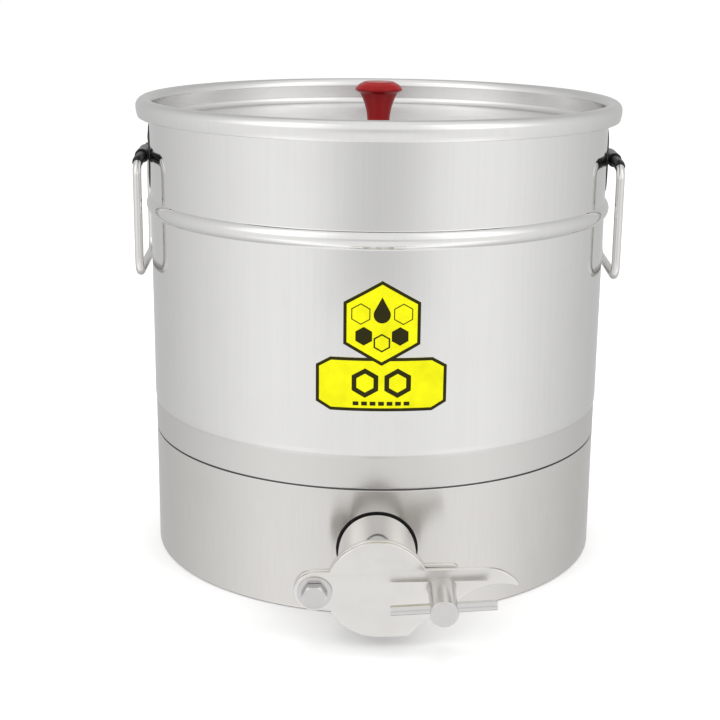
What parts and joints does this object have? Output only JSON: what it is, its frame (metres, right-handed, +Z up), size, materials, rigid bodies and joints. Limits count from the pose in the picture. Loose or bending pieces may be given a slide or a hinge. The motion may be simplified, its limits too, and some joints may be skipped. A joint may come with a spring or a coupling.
{
  "type": "honey settling tank with gate valve",
  "caption": "Round stainless steel honey tank on a foot skirt, with a sloped floor, a swing gate valve, a lift-off lid with a knob, and hanging bail handles.",
  "frame": {"origin": "centre of the ring that the tank stands on, on the ground", "axes": "+Z up along the vessel axis, the gate valve faces -Y, +X to the right seen from the front"},
  "size_m": [0.3192, 0.3873, 0.3098],
  "materials": {
    "polished_steel": "polished",
    "satin_steel": "satin",
    "valve_steel": "fine brushed",
    "fastener_steel": "satin",
    "bail_steel": "drawn, satin",
    "black_enamel": "semi gloss",
    "black_plastic": "matte",
    "red_plastic": "gloss",
    "seal_rubber": "matte",
    "insert_brass": "machined",
    "label_vinyl": "gloss print"
  },
  "bodies": {
    "tank": {"tank_wall": "polished_steel", "rim_wire": "fastener_steel", "tank_floor": "satin_steel", "foot_skirt": "satin_steel", "outlet_pipe": "polished_steel", "valve_flange": "valve_steel", "gate_seal": "seal_rubber", "pivot_bolt": "fastener_steel", "pivot_washer": "fastener_steel", "pivot_spring_washer": "fastener_steel", "pivot_nut": "fastener_steel", "clamp_stud": "fastener_steel", "left_bracket": "black_enamel", "right_bracket": "black_enamel", "left_bracket_rivets": "fastener_steel", "right_bracket_rivets": "fastener_steel", "emblem_label": "label_vinyl", "capacity_label": "label_vinyl"},
    "gate": {"gate_plate": "valve_steel"},
    "clamp_slide": {"clamp_washer": "fastener_steel"},
    "clamp_handle": {"clamp_nut": "valve_steel", "clamp_bar": "valve_steel"},
    "left_bail": {"left_bail": "bail_steel", "left_bail_sleeve": "black_plastic"},
    "right_bail": {"right_bail": "bail_steel", "right_bail_sleeve": "black_plastic"},
    "lid": {"lid_pan": "polished_steel", "lid_knob": "red_plastic", "knob_insert": "insert_brass", "knob_screw": "fastener_steel", "knob_washer": "fastener_steel"}
  },
  "joints": [
    {"name": "lid_lift", "type": "slide", "parent": "tank", "child": "lid", "axis": [0, 0, 1], "range_m": [0, 0.05]},
    {"name": "gate_swing", "type": "hinge", "parent": "tank", "child": "gate", "pos_m": [-0.03648, -0.19822, 0.03665], "axis": [0, -0.9962, -0.0872], "range_deg": [0, 180]},
    {"name": "clamp_travel", "type": "slide", "parent": "tank", "child": "clamp_slide", "axis": [0, -0.9962, -0.0872], "range_m": [0, 0.0025]},
    {"name": "clamp_turn", "type": "hinge", "parent": "clamp_slide", "child": "clamp_handle", "pos_m": [0.03648, -0.20937, 0.03785], "axis": [0, -0.9962, -0.0872], "range_deg": [0, 730]},
    {"name": "left_bail_swing", "type": "hinge", "parent": "tank", "child": "left_bail", "pos_m": [-0.15451, -0.00539, 0.262], "axis": [-0.0349, 0.9994, 0], "range_deg": [0, 170]},
    {"name": "right_bail_swing", "type": "hinge", "parent": "tank", "child": "right_bail", "pos_m": [0.15451, -0.00539, 0.262], "axis": [-0.0349, -0.9994, 0], "range_deg": [0, 170]}
  ],
  "couplings": [
    {"joint": "clamp_turn", "follows": "clamp_travel", "rad_per_m": 5026.5}
  ]
}
